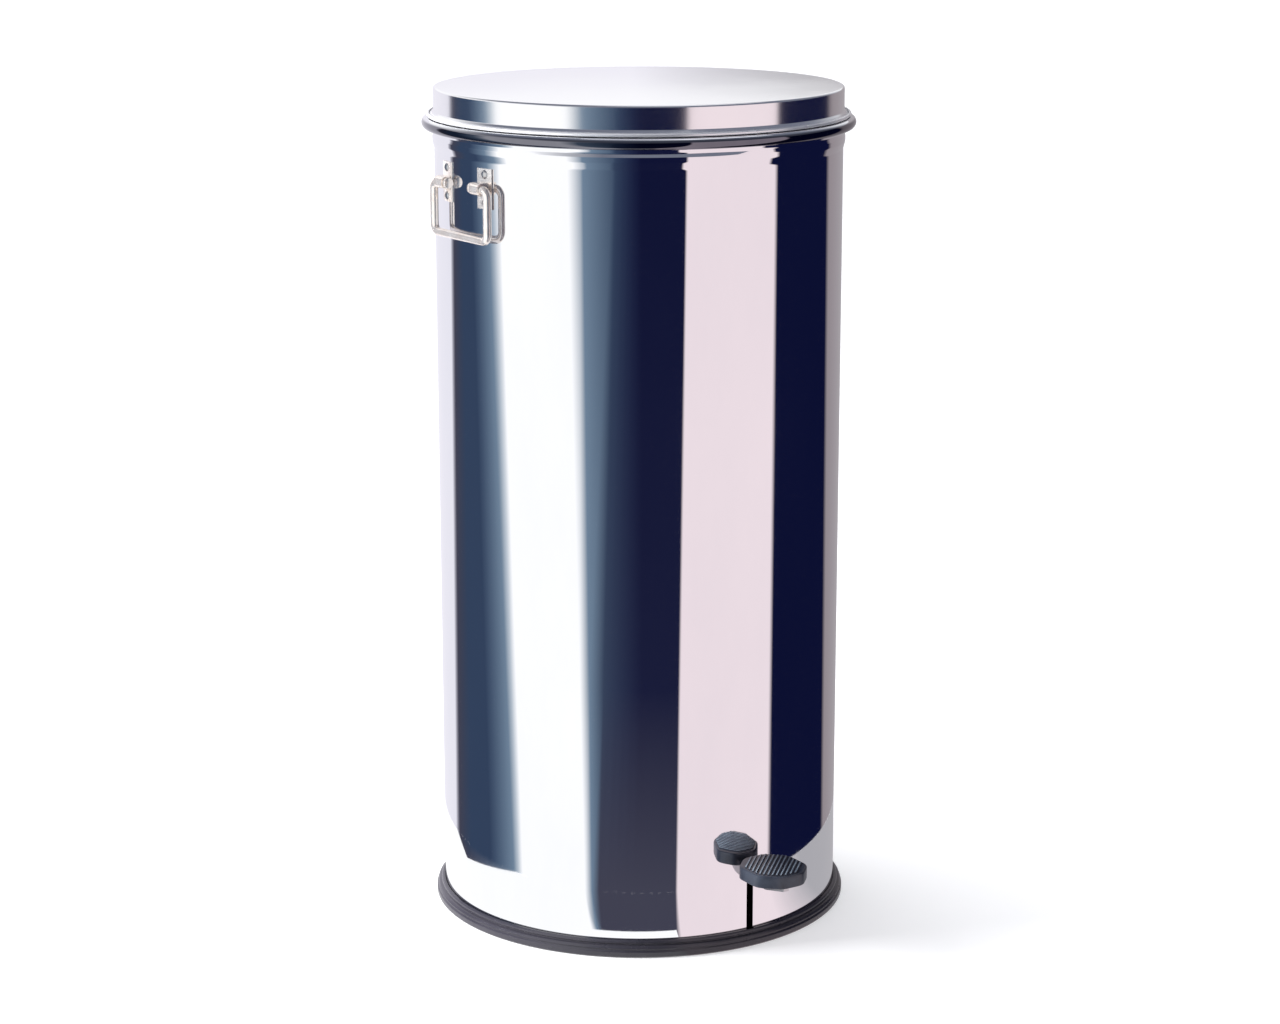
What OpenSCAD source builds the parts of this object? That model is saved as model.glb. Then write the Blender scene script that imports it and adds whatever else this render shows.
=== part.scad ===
// Pedal bin for laboratory waste: a polished steel cylinder on a black base, with a
// hinged lid that a foot pedal opens through a lever and a push rod, a lift-out inner
// bucket, and a drop handle on each side. Sizes are in millimetres. The floor is z = 0,
// the axis of the cylinder is the Z axis, the pedal points to -Y and the hinge is at +Y.

/* [Body] */
// Outer radius of the cylindrical wall
body_r = 200; // [196:1:206]
// Height of the closed bin
total_h = 824.7; // [800:0.1:850]
// Thickness of the sheet steel of body and lid
sheet_t = 0.8; // [0.7:0.1:0.9]
// How far the swaged band under the rim stands out
band_out = 2.6; // [2:0.1:3]
// Outer radius of the rolled rim's round section
rim_roll_r = 6; // [5.5:0.1:6.2]

/* [Lid] */
// Height of the lid, from its flat top to the middle of its rolled edge
lid_h = 24.7; // [22:0.1:28]
// Radius of the bend between the lid's top and its wall
lid_edge_r = 4; // [2:0.5:6]
// Outer radius of the lid's rolled edge
lid_roll_r = 3.6; // [3.2:0.1:3.8]
// How far the lid opens, in degrees
lid_open = 80; // [60:1:85]

/* [Base] */
// Height of the black base's upstand around the wall
base_h = 16.3; // [14:0.1:18]
// How far the base stands out from the wall
base_flare = 8.9; // [7:0.1:10]

/* [Pedal] */
// Length of the pedal pad, outwards from the wall
pad_len = 67; // [60:1:72]
// Width of the pedal pad
pad_wid = 60; // [50:1:64]
// Size of the pad's cut corners
pad_cut = 18; // [12:1:20]
// Gap between the pad and the wall
pad_gap = 5.5; // [5:0.5:8]
// Height of the pad's ribbed top above the floor
pad_top = 94; // [90:1:98]
// Height of the lever's pivot above the floor
pivot_z = 56; // [54:1:58]
// Distance between the ribs on the pad
rib_pitch = 4.1; // [3.5:0.1:6]

/* [Handles] */
// Angle between the pedal and each handle, seen from above
handle_azimuth = 88.5; // [70:0.5:110]
// Distance between the centres of a handle's two legs
handle_span = 97; // [93:1:100]
// Drop from a handle's pivot to its bar
handle_drop = 48.5; // [40:0.5:60]
// Diameter of the handle's wire
handle_wire = 8; // [7.6:0.1:8]
// Height of the handles' pivots above the floor
handle_z = 741; // [700:1:745]

/* [Inner bucket] */
// Outer radius of the bucket's wall
bucket_r = 174.5; // [170:0.5:175]
// Height of the bucket's floor
bucket_z = 92.1; // [92.1:0.1:94]
// Height of the bucket's rim
bucket_top = 760; // [740:1:762]

/* [Mechanism] */
// Diameter of the push rod
rod_d = 6; // [5:0.5:6]
// Length of the lid's crank, from the hinge axis to the rod's pivot
crank_r = 31; // [30:0.5:32]
// Distance of the hinge axis behind the wall
hinge_out = 15.5; // [15.5:0.1:17]
// Height of the hinge axis above the middle of the lid's rolled edge
hinge_rise = -1; // [-2:0.5:0]
// Thickness of the pedal lever
lever_t = 6; // [5:0.5:6]

/* [Hidden] */
$fn = 96;
eps = 0.05;             // gap between pieces that lie on each other
joint = 0.01;           // overlap of two stretches of one wire
far = 1000;             // longer than any part of the bin

// Sheet metal: heights of the rim and of the lid
lid_roll_z = total_h - lid_h;
lid_wall_r = body_r + 0.6;
lid_roll_mid = lid_wall_r + lid_roll_r - 0.5;
rim_z = lid_roll_z - 10.2;
rim_mid = body_r + 0.2 + rim_roll_r;
band_low = rim_z - 17;
band_high = rim_z - 14.8;

// Base, floor and the shelf that carries the bucket
base_r = body_r + base_flare;
base_t = 3;
seat_w = 14;
seat_z = 6;
floor_t = 1.5;
floor_z = seat_z + 2 * eps;
floor_top = floor_z + floor_t;
shelf_t = 2;
shelf_top = bucket_z - eps;
shelf_r = 178;
post_r = 8;
post_ring = 140;
post_z = floor_top + eps;
post_top = shelf_top - shelf_t - eps;
base_screw_ring = body_r - 9;

// Hinge, crank, rod and lever: the rod stays upright, so its lower end repeats the
// path of the crank's pin and moves within the lever's fork
hinge_y = body_r + hinge_out;
hinge_z = lid_roll_z + hinge_rise;
crank_half = lid_open / 2;
rod_x = -10;
rod_r = rod_d / 2;
rod_bend = 6;
rod_y = hinge_y - crank_r * cos(crank_half);
rod_inner_y = hinge_y - crank_r;
rod_lift = 2 * crank_r * sin(crank_half);
rod_top = hinge_z - crank_r * sin(crank_half);
rod_low = pivot_z - rod_lift / 2;
hinge_pin_r = 3;
axle_r = 4;
fit = 0.05;             // radial running clearance of pins and axles

// Pedal
pad_mid = body_r + pad_gap + pad_len / 2;
pad_skirt = pad_top - 13.5;
tread_t = 3;
tread_z = pad_skirt - 0.5;
lever_half = 7;
slot_w = 7.6;
slot_low = 11.2;
slot_high = tread_z + 4;

// Handles
wire_r = handle_wire / 2;
bail_y = body_r + 0.6 + wire_r;
bail_bend = 8;
bracket_in = 24;
bracket_w = 20;
bracket_h = 38;
bracket_t = 1.5;
barrel_r = 6;
barrel_len = 14.5;
handle_rivet_x = bracket_in + bracket_w / 2;
handle_rivet_dz = 13.5;
handle_sides = [-1, 1];

// Inner bucket: rolled rim, ears and bail
bucket_roll = 4;
bucket_roll_r = bucket_r + 1.1;
bucket_ear_z = bucket_top - 20;
bucket_bail_r = bucket_r + 11.5;
bucket_bail_wire = 2.5;
bucket_bail_pin = 2.8;
bucket_bail_tilt = 10;
bucket_grip_turn = 32;
ear_rivet_r = 2;
ear_rivet_head_r = 3.2;
ear_rivet_angles = [-3, 3];
ear_rivet_z = bucket_ear_z - 9;
ear_rivets = [for (s = [-1, 1], a = ear_rivet_angles) [s * 90 + a, ear_rivet_z]];

// Fasteners
rivet_r = 2.5;
rivet_hole = rivet_r + fit;
rivet_head_r = 4.2;
rivet_head_h = 2;
rivet_tail_r = 4;
rivet_tail_h = 1.2;
washer_t = 1.5;

// Places of the wall rivets, as [angle from the pedal, height]
handle_rivet_angle = asin(handle_rivet_x / body_r);
hinge_leaf_w = 60;
hinge_plate_low = 738;
hinge_plate_high = 766;
hinge_rivets = [for (x = [-14, 14], z = [745, 759]) [180 + asin(x / body_r), z]];
guide_heights = [250, 560];
guide_y = 196.9;
guide_t = 1.4;
guide_rivets = [for (z = guide_heights, dz = [-14, 14]) [180 - asin(rod_x / body_r), z + dz]];
lid_rivet_z = total_h - 11;
lid_rivets = [for (x = [-12, 0, 12]) [180 + asin(x / body_r), lid_rivet_z]];
bracket_feet = [for (x = [-21, 21], y = [-13, 13]) [x, y]];
screw_angles = [45, 135, 225, 315];

// ---- Shared shapes ----

// Turns what lies towards -Y to an angle from the pedal
module at_angle(a) rotate([0, 0, a]) children();

// A flat outline drawn as (y, z), given a thickness along X
module side_plate(x_from, t)
    translate([x_from, 0, 0]) rotate([90, 0, 90]) linear_extrude(height = t) children();

// A bar along X
module x_bar(x_from, x_to, y, z, r)
    translate([x_from, y, z]) rotate([0, 90, 0]) cylinder(r = r, h = x_to - x_from);

// A quarter turn of wire in the XZ plane, starting at angle a
module quarter_bend(x, y, z, bend, r, a)
    translate([x, y, z]) rotate([90, 0, 0]) rotate([0, 0, a])
        rotate_extrude(angle = 90) translate([bend, 0]) circle(r);

// A hollow roll of sheet, open over a small notch
module sheet_roll(x, z, r, notch_x, notch_z, notch)
    difference() {
        translate([x, z]) circle(r);
        translate([x, z]) circle(r - sheet_t);
        translate([notch_x, notch_z]) square(notch);
    }

// A hole through the wall at an angle and a height
module radial_hole(spot, r)
    at_angle(spot[0]) translate([0, 0, spot[1]]) rotate([90, 0, 0])
        translate([0, 0, body_r - 20]) cylinder(r = r, h = 40);

// A hole for one of the small rivets in the bucket's wall
module ear_rivet_hole(spot)
    at_angle(spot[0]) translate([0, 0, spot[1]]) rotate([90, 0, 0])
        translate([0, 0, bucket_r - 5]) cylinder(r = ear_rivet_r + fit, h = 10);

// A rivet along Z: a flat tail below z_low and a domed head on z_high
module rivet(z_low, z_high) {
    dome_r = (rivet_head_r * rivet_head_r + rivet_head_h * rivet_head_h) / (2 * rivet_head_h);
    translate([0, 0, z_low - rivet_tail_h]) cylinder(r = rivet_tail_r, h = rivet_tail_h);
    translate([0, 0, z_low - rivet_tail_h / 2])
        cylinder(r = rivet_r, h = z_high - z_low + rivet_tail_h);
    intersection() {
        translate([0, 0, z_high + rivet_head_h - dome_r]) sphere(dome_r);
        translate([-10, -10, z_high]) cube(20);
    }
}

// A rivet through the wall, from radius r_in inside to radius r_out outside
module wall_rivet(spot, r_in, r_out)
    at_angle(spot[0]) translate([0, 0, spot[1]]) rotate([90, 0, 0])
        rivet(r_in - eps, r_out + eps);

// A curved plate on a wall of radius r, facing -Y
module curved_plate(r, t, x_low, x_high, z_low, z_high)
    intersection() {
        difference() {
            cylinder(r = r + t, h = far);
            translate([0, 0, -1]) cylinder(r = r, h = far + 2);
        }
        translate([x_low, -far, z_low]) cube([x_high - x_low, far, z_high - z_low]);
    }

// A flat ring along X
module x_washer(x_from, t, y, z, r_in, r_out)
    difference() {
        x_bar(x_from, x_from + t, y, z, r_out);
        x_bar(x_from - 1, x_from + t + 1, y, z, r_in);
    }

// The pad's outline seen from above: a rectangle with cut corners
module pad_outline(inset) {
    l = pad_len / 2 - inset;
    w = pad_wid / 2 - inset;
    c = pad_cut - inset * 0.59;
    translate([0, -pad_mid])
        polygon([[w - c, -l], [w, c - l], [w, l - c], [w - c, l],
                 [c - w, l], [-w, l - c], [-w, c - l], [c - w, -l]]);
}

// ---- Body, base and floor ----

module shell_profile() {
    z0 = seat_z + eps;
    inner = body_r - sheet_t;
    band = body_r + band_out;
    translate([inner, z0]) square([sheet_t, band_low - z0]);
    polygon([[inner, band_low - 0.1], [body_r, band_low - 0.1], [band, band_high],
             [band, rim_z - 3.7], [band - sheet_t, rim_z - 3.7],
             [band - sheet_t, band_high + 0.3]]);
    sheet_roll(rim_mid, rim_z, rim_roll_r, band + 0.6, rim_z - rim_roll_r - 1, 2.6);
}

module body_shell()
    color("silver")
        difference() {
            rotate_extrude() shell_profile();
            translate([-slot_w / 2, -body_r - 5, slot_low])
                cube([slot_w, 10, slot_high - slot_low]);
            for (spot = hinge_rivets) radial_hole(spot, rivet_hole);
            for (spot = guide_rivets) radial_hole(spot, rivet_hole);
            for (side = handle_sides, s = [-1, 1], dz = [-1, 1])
                radial_hole([side * handle_azimuth + s * handle_rivet_angle,
                             handle_z + dz * handle_rivet_dz], rivet_hole);
        }

module base_cap() {
    inner = body_r + 0.3;
    color("black")
        difference() {
            rotate_extrude()
                polygon([[0, 0], [base_r - 1.7, 0], [base_r, 1.7], [base_r, 7.5],
                         [base_r - 2.3, 11], [base_r - 4.5, 12.2], [base_r - 4.9, base_h - 1.3],
                         [base_r - 6.1, base_h], [inner, base_h], [inner, seat_z],
                         [body_r - seat_w, seat_z], [body_r - seat_w, base_t], [0, base_t]]);
            for (a = screw_angles)
                at_angle(a) translate([0, -base_screw_ring, -1]) {
                    cylinder(r = 4.2, h = 3.4);
                    cylinder(r = 2.1, h = 10);
                }
            translate([-slot_w / 2, -body_r - 3, slot_low]) cube([slot_w, 3.5, 10]);
        }
}

module floor_plate() {
    r = body_r - sheet_t - 2 * eps;
    color("gainsboro")
        difference() {
            rotate_extrude() {
                translate([0, floor_z]) square([r, floor_t]);
                translate([r - 1, floor_z]) square([1, 4.6]);
            }
            for (a = screw_angles)
                at_angle(a) {
                    translate([0, -base_screw_ring, 0]) cylinder(r = 2.1, h = 20);
                    translate([0, -post_ring, 0]) cylinder(r = rivet_hole, h = 20);
                }
            for (p = bracket_feet)
                translate([p[0], p[1], 0]) cylinder(r = rivet_hole, h = 20);
        }
}

module base_screws()
    color("dimgray")
        for (a = screw_angles)
            at_angle(a) translate([0, -base_screw_ring, 0]) {
                translate([0, 0, 0.3]) cylinder(r = 4, h = 2);
                translate([0, 0, 2]) cylinder(r = 2, h = floor_top + 1.5);
            }

module base_nuts()
    color("dimgray")
        for (a = screw_angles)
            at_angle(a) translate([0, -base_screw_ring, floor_top + eps])
                difference() {
                    cylinder(r = 4, h = 3.2, $fn = 6);
                    translate([0, 0, -1]) cylinder(r = 2.05, h = 6);
                }

// ---- Lid and hinge ----

module lid_profile() {
    edge = lid_wall_r - lid_edge_r;
    bend_z = total_h - lid_edge_r;
    translate([0, total_h - sheet_t]) square([edge, sheet_t]);
    intersection() {
        difference() {
            translate([edge, bend_z]) circle(lid_edge_r);
            translate([edge, bend_z]) circle(lid_edge_r - sheet_t);
        }
        translate([edge, bend_z]) square(lid_edge_r + 1);
    }
    translate([lid_wall_r - sheet_t, lid_roll_z]) square([sheet_t, bend_z - lid_roll_z]);
    sheet_roll(lid_roll_mid, lid_roll_z, lid_roll_r,
               lid_wall_r - 2, lid_roll_z - 3.2, 2.4);
}

module lid()
    color("silver")
        difference() {
            rotate_extrude() lid_profile();
            for (spot = lid_rivets) radial_hole(spot, rivet_hole);
        }

module lid_crank() {
    t = 3;
    top = total_h - sheet_t - eps;
    color("gainsboro") {
        translate([-16, 165, top - 1.5]) cube([32, 30, 1.5]);
        side_plate(-t / 2, t)
            difference() {
                union() {
                    polygon([[168, top - 1], [194, top - 1], [rod_y + 6.9, rod_top + 1],
                             [rod_y - 6.9, rod_top + 1]]);
                    translate([rod_y, rod_top]) circle(7);
                }
                translate([rod_y, rod_top]) circle(rod_r + fit);
            }
    }
}

module lid_hinge_leaf() {
    ear_in = 21;
    ear_t = 3;
    r = lid_wall_r + eps;
    z_low = lid_roll_z + 6.5;
    z_high = total_h - lid_edge_r - 0.2;
    color("silver")
        difference() {
            union() {
                at_angle(180)
                    curved_plate(r, 1.5, -hinge_leaf_w / 2, hinge_leaf_w / 2, z_low, z_high);
                for (x = [-ear_in - ear_t, ear_in])
                    side_plate(x, ear_t) {
                        polygon([[body_r + 0.4, z_low + 0.4], [body_r + 0.4, z_high - 1],
                                 [body_r + 8, z_high - 1], [hinge_y + 4.6, hinge_z + 3.8],
                                 [hinge_y - 4.6, hinge_z + 3.8]]);
                        translate([hinge_y, hinge_z]) circle(6);
                    }
            }
            x_bar(-40, 40, hinge_y, hinge_z, hinge_pin_r + fit);
            for (spot = lid_rivets) radial_hole(spot, rivet_hole);
        }
}

module lid_rivets()
    color("gainsboro")
        for (spot = lid_rivets)
            wall_rivet(spot, lid_wall_r - sheet_t, lid_wall_r + eps + 1.5);

module hinge_bracket() {
    ear_in = 26;
    ear_t = 3;
    r = body_r + eps;
    clear_y = rim_mid + rim_roll_r - 0.3;
    color("silver")
        difference() {
            union() {
                at_angle(180) curved_plate(r, 1.8, -36, 36, hinge_plate_low, hinge_plate_high);
                for (x = [-ear_in - ear_t, ear_in])
                    side_plate(x, ear_t) {
                        polygon([[body_r - 0.9, hinge_plate_low + 2],
                                 [body_r - 0.9, hinge_plate_high - 0.4],
                                 [clear_y - 6, hinge_plate_high + 4], [clear_y, rim_z - 9],
                                 [clear_y, hinge_z], [hinge_y + 6, hinge_z],
                                 [hinge_y + 6, rim_z - 8], [body_r + 9, hinge_plate_low + 2]]);
                        translate([hinge_y, hinge_z]) circle(6);
                    }
            }
            x_bar(-40, 40, hinge_y, hinge_z, hinge_pin_r + fit);
            translate([0, 0, hinge_plate_low - 5]) cylinder(r = r, h = 40);
            for (spot = hinge_rivets) radial_hole(spot, rivet_hole);
        }
}

module hinge_bracket_rivets()
    color("gainsboro")
        for (spot = hinge_rivets) wall_rivet(spot, body_r - sheet_t, body_r + eps + 1.8);

module hinge_pin()
    color("gainsboro") {
        x_bar(-30, 31, hinge_y, hinge_z, hinge_pin_r);
        x_bar(-31.5, -29 - eps, hinge_y, hinge_z, 5);
    }

module hinge_pin_clip()
    color("dimgray") x_washer(29 + eps, 1.2, hinge_y, hinge_z, hinge_pin_r + fit, 5);

module hinge_washers()
    color("white")
        for (x = [-25.9, 24.1])
            x_washer(x, 1.8, hinge_y, hinge_z, hinge_pin_r + fit, 5.6);

// ---- Pedal ----

module pedal_pad() {
    rib_h = 1.2;
    rib_w = 1.5;
    rib_count = 13;
    color([0.1, 0.1, 0.12]) {
        difference() {
            translate([0, 0, pad_skirt])
                linear_extrude(height = pad_top - rib_h - pad_skirt) pad_outline(0);
            translate([0, 0, pad_skirt - 1])
                linear_extrude(height = tread_z + tread_t + eps - pad_skirt + 1)
                    pad_outline(3.5);
        }
        intersection() {
            translate([0, -pad_mid, 0]) rotate([0, 0, -45])
                for (i = [0 : rib_count - 1])
                    translate([(i - (rib_count - 1) / 2) * rib_pitch - rib_w / 2, -50,
                               pad_top - rib_h - 0.1])
                        cube([rib_w, 100, rib_h + 0.1]);
            translate([0, 0, pad_skirt]) linear_extrude(height = 20) pad_outline(4);
        }
    }
}

module tread_plate()
    color("gainsboro")
        translate([0, 0, tread_z]) linear_extrude(height = tread_t) pad_outline(3.6);

module pedal_lever() {
    front = pad_mid + 22;
    taper = 30;
    lever_mid = tread_z - eps - lever_half;
    fork_out = rod_y + 3.7;
    fork_in = rod_inner_y - 14;
    fork_half = 10;
    mouth_low = rod_low - 4.2;
    mouth_high = rod_low + 4.1;
    color("gainsboro")
        side_plate(-lever_t / 2, lever_t)
            difference() {
                union() {
                    polygon([[-front, lever_mid + lever_half], [-front, lever_mid],
                             [taper - front, lever_mid - lever_half],
                             [8 - body_r, lever_mid - lever_half],
                             [0, pivot_z - 9], [fork_in, rod_low - fork_half],
                             [fork_out, rod_low - fork_half],
                             [fork_out, rod_low + fork_half],
                             [fork_in, rod_low + fork_half], [0, pivot_z + 9],
                             [8 - body_r, lever_mid + lever_half]]);
                    translate([0, pivot_z]) circle(13);
                }
                translate([0, pivot_z]) circle(axle_r + fit);
                translate([rod_inner_y - 4.2, mouth_low])
                    square([40, mouth_high - mouth_low]);
            }
}

module pedal_bracket() {
    ear_in = 8;
    ear_t = 2;
    foot_t = 2;
    z0 = floor_top + eps;
    color("gainsboro")
        difference() {
            union() {
                translate([-30, -19, z0]) cube([60, 38, foot_t]);
                for (x = [-ear_in - ear_t, ear_in])
                    side_plate(x, ear_t) {
                        polygon([[-19, z0 + 1], [19, z0 + 1], [12, pivot_z], [-12, pivot_z]]);
                        translate([0, pivot_z]) circle(12);
                    }
            }
            x_bar(-20, 20, 0, pivot_z, axle_r + fit);
            for (p = bracket_feet)
                translate([p[0], p[1], 0]) cylinder(r = rivet_hole, h = 20);
        }
}

module pedal_bracket_rivets()
    color("gainsboro")
        for (p = bracket_feet)
            translate([p[0], p[1], 0]) rivet(floor_z - eps, floor_top + 2 + 2 * eps);

module pedal_axle()
    color("gainsboro") {
        x_bar(-11, 13, 0, pivot_z, axle_r);
        x_bar(-12.6, -10 - eps, 0, pivot_z, 6);
    }

module pedal_axle_clip()
    color("dimgray") x_washer(10 + eps, 1.2, 0, pivot_z, axle_r + fit, 7);

module pedal_spacers()
    color("white")
        for (x = [-7.9, lever_t / 2 + 0.1])
            x_washer(x, 7.8 - lever_t / 2, 0, pivot_z, axle_r + fit, 7);

// ---- Push rod ----

module push_rod()
    color("gainsboro") {
        translate([rod_x, rod_y, rod_low + rod_bend - joint])
            cylinder(r = rod_r, h = rod_top - rod_low - 2 * (rod_bend - joint));
        quarter_bend(rod_x + rod_bend, rod_y, rod_low + rod_bend, rod_bend, rod_r, 180);
        quarter_bend(rod_x + rod_bend, rod_y, rod_top - rod_bend, rod_bend, rod_r, 90);
        for (z = [rod_low, rod_top]) x_bar(rod_x + rod_bend, 6, rod_y, z, rod_r);
    }

module push_rod_clips()
    color("dimgray")
        for (z = [rod_low, rod_top])
            x_washer(lever_t / 2 + 0.6, washer_t, rod_y, z, rod_r + fit, 6);

module rod_guides() {
    fin_t = 3.6;
    gap = rod_r + 0.25;
    fin_y = rod_inner_y - rod_r - 0.3;
    color("white")
        for (z = guide_heights)
            difference() {
                union() {
                    translate([rod_x - gap - fin_t, guide_y, z - 20])
                        cube([2 * (gap + fin_t), guide_t, 40]);
                    for (x = [rod_x - gap - fin_t, rod_x + gap])
                        translate([x, fin_y, z - 7]) cube([fin_t, guide_y + 1 - fin_y, 14]);
                }
                for (spot = guide_rivets) radial_hole(spot, rivet_hole);
            }
}

module rod_guide_rivets()
    color("gainsboro")
        for (spot = guide_rivets) wall_rivet(spot, guide_y, body_r);

// ---- Handles ----

module handle() {
    half = handle_span / 2;
    bar_z = handle_z - handle_drop;
    color("silver") {
        for (s = [0, 1])
            mirror([s, 0, 0]) {
                x_bar(bracket_in - 2.5, half - bail_bend, -bail_y, handle_z, wire_r);
                x_bar(bracket_in - 4, bracket_in - 0.5, -bail_y, handle_z, wire_r + 1.2);
                quarter_bend(half - bail_bend, -bail_y, handle_z - bail_bend, bail_bend,
                             wire_r, 0);
                translate([half, -bail_y, bar_z + bail_bend])
                    cylinder(r = wire_r, h = handle_drop - 2 * bail_bend);
                quarter_bend(half - bail_bend, -bail_y, bar_z + bail_bend, bail_bend,
                             wire_r, 270);
            }
        x_bar(bail_bend - half, half - bail_bend, -bail_y, bar_z, wire_r);
    }
}

module handle_brackets()
    color("silver")
        for (s = [0, 1])
            mirror([s, 0, 0])
                difference() {
                    union() {
                        curved_plate(body_r + eps, bracket_t, bracket_in,
                                     bracket_in + bracket_w, handle_z - bracket_h / 2,
                                     handle_z + bracket_h / 2);
                        x_bar(bracket_in + 1, bracket_in + 1 + barrel_len, -bail_y,
                              handle_z, barrel_r);
                        translate([bracket_in + 1, -bail_y, handle_z - barrel_r])
                            cube([barrel_len, 10, 2 * barrel_r]);
                    }
                    translate([0, 0, handle_z - 40]) cylinder(r = body_r + eps, h = 80);
                    x_bar(0, far / 4, -bail_y, handle_z, wire_r + fit);
                    for (dz = [-1, 1])
                        radial_hole([handle_rivet_angle, handle_z + dz * handle_rivet_dz],
                                    rivet_hole);
                }

module handle_rivets()
    color("gainsboro")
        for (s = [-1, 1], dz = [-1, 1])
            wall_rivet([s * handle_rivet_angle, handle_z + dz * handle_rivet_dz],
                       body_r - sheet_t, body_r + eps + bracket_t);

// ---- Inner bucket and its shelf ----

module inner_bucket()
    color("lightgray")
        difference() {
            rotate_extrude() {
                translate([0, bucket_z]) square([bucket_r - 0.5, 1]);
                translate([bucket_r - 1, bucket_z])
                    square([1, bucket_top - bucket_roll - bucket_z - 3]);
                sheet_roll(bucket_roll_r, bucket_top - bucket_roll, bucket_roll,
                           bucket_r + 0.6, bucket_top - 2 * bucket_roll - 1, 2);
            }
            for (spot = ear_rivets) ear_rivet_hole(spot);
        }

module bucket_ears()
    color("gainsboro")
        for (s = [-1, 1])
            at_angle(s * 90)
                difference() {
                    union() {
                        curved_plate(bucket_r + eps, 1.5, -15, 15, bucket_ear_z - 15,
                                     bucket_ear_z + 10);
                        translate([0, -bucket_r, bucket_ear_z]) rotate([90, 0, 0])
                            cylinder(r = 6, h = 7.5);
                    }
                    translate([0, 0, bucket_ear_z - 20]) cylinder(r = bucket_r + eps, h = 40);
                    translate([0, -bucket_r + 5, bucket_ear_z]) rotate([90, 0, 0])
                        cylinder(r = bucket_bail_pin + fit, h = 20);
                    for (a = ear_rivet_angles) ear_rivet_hole([a, ear_rivet_z]);
                }

module bucket_rivets()
    color("gainsboro")
        for (spot = ear_rivets)
            at_angle(spot[0]) translate([0, 0, spot[1]]) rotate([90, 0, 0]) {
                translate([0, 0, bucket_r - 2.2]) cylinder(r = ear_rivet_head_r, h = 1.1);
                translate([0, 0, bucket_r - 1.5]) cylinder(r = ear_rivet_r, h = 4);
                translate([0, 0, bucket_r + 1.65]) cylinder(r = ear_rivet_head_r, h = 1.2);
            }

module bucket_bail()
    color("gainsboro") {
        translate([0, 0, bucket_ear_z]) rotate([bucket_bail_tilt, 0, 0]) rotate([0, 0, 180])
            rotate_extrude(angle = 180) translate([bucket_bail_r, 0])
                circle(bucket_bail_wire);
        for (s = [0, 1])
            mirror([s, 0, 0])
                x_bar(bucket_r + 2, bucket_bail_r + bucket_bail_pin, 0, bucket_ear_z,
                      bucket_bail_pin);
    }

module bucket_grip()
    color("dimgray")
        translate([0, 0, bucket_ear_z]) rotate([bucket_bail_tilt, 0, 0])
            rotate([0, 0, 270 - bucket_grip_turn / 2])
            rotate_extrude(angle = bucket_grip_turn) translate([bucket_bail_r, 0])
                difference() {
                    circle(5);
                    circle(bucket_bail_wire + fit);
                }

module bucket_shelf()
    color("gainsboro")
        difference() {
            translate([0, 0, shelf_top - shelf_t]) cylinder(r = shelf_r, h = shelf_t);
            for (a = screw_angles)
                at_angle(a) translate([0, -post_ring, 0]) {
                    translate([0, 0, shelf_top - 1.4]) cylinder(r = 5.2, h = 5);
                    cylinder(r = rivet_hole, h = 200);
                }
        }

module shelf_posts()
    color([0.15, 0.15, 0.16])
        for (a = screw_angles)
            at_angle(a) translate([0, -post_ring, 0])
                difference() {
                    translate([0, 0, post_z]) cylinder(r = post_r, h = post_top - post_z);
                    translate([0, 0, post_z - 1]) cylinder(r = rivet_hole, h = 16);
                    translate([0, 0, post_top - 15]) cylinder(r = rivet_hole, h = 16);
                }

module shelf_screws()
    color("dimgray")
        for (a = screw_angles)
            at_angle(a) translate([0, -post_ring, 0]) {
                translate([0, 0, shelf_top - 1.3]) cylinder(r = 5, h = 1.2);
                translate([0, 0, shelf_top - 14]) cylinder(r = rivet_r, h = 13.5);
                translate([0, 0, floor_z - 1.9]) cylinder(r = 4.5, h = 1.8);
                translate([0, 0, floor_z - 1]) cylinder(r = rivet_r, h = 14);
            }

// ---- What is drawn ----

body_shell();
base_cap();
floor_plate();
base_screws();
base_nuts();
lid();
lid_crank();
lid_hinge_leaf();
lid_rivets();
hinge_bracket();
hinge_bracket_rivets();
hinge_pin();
hinge_pin_clip();
hinge_washers();
pedal_pad();
tread_plate();
pedal_lever();
pedal_bracket();
pedal_bracket_rivets();
pedal_axle();
pedal_axle_clip();
pedal_spacers();
push_rod();
push_rod_clips();
rod_guides();
rod_guide_rivets();
at_angle(-handle_azimuth) handle();  // handle_left
at_angle(-handle_azimuth) handle_brackets();  // handle_brackets_left
at_angle(-handle_azimuth) handle_rivets();  // handle_rivets_left
at_angle(handle_azimuth) handle();  // handle_right
at_angle(handle_azimuth) handle_brackets();  // handle_brackets_right
at_angle(handle_azimuth) handle_rivets();  // handle_rivets_right
inner_bucket();
bucket_ears();
bucket_rivets();
bucket_bail();
bucket_grip();
bucket_shelf();
shelf_posts();
shelf_screws();
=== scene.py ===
"""Looks of a pedal bin: a mirror-polished steel cylinder on a black moulded base, with a
hinged lid, a ribbed pedal, two drop handles and a lift-out inner bucket.

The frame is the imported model's own: the floor is z = 0, the axis of the cylinder is Z, the
pedal points to -Y and the hinge is at +Y. Sizes of pieces are in millimetres, and
mesh_piece turns them into metres. Outlines are lists of (radius, height)."""
from math import asin, ceil, cos, degrees, pi, radians, sin, sqrt, tan

import bmesh
import bpy
from mathutils import Matrix, Vector


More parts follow.
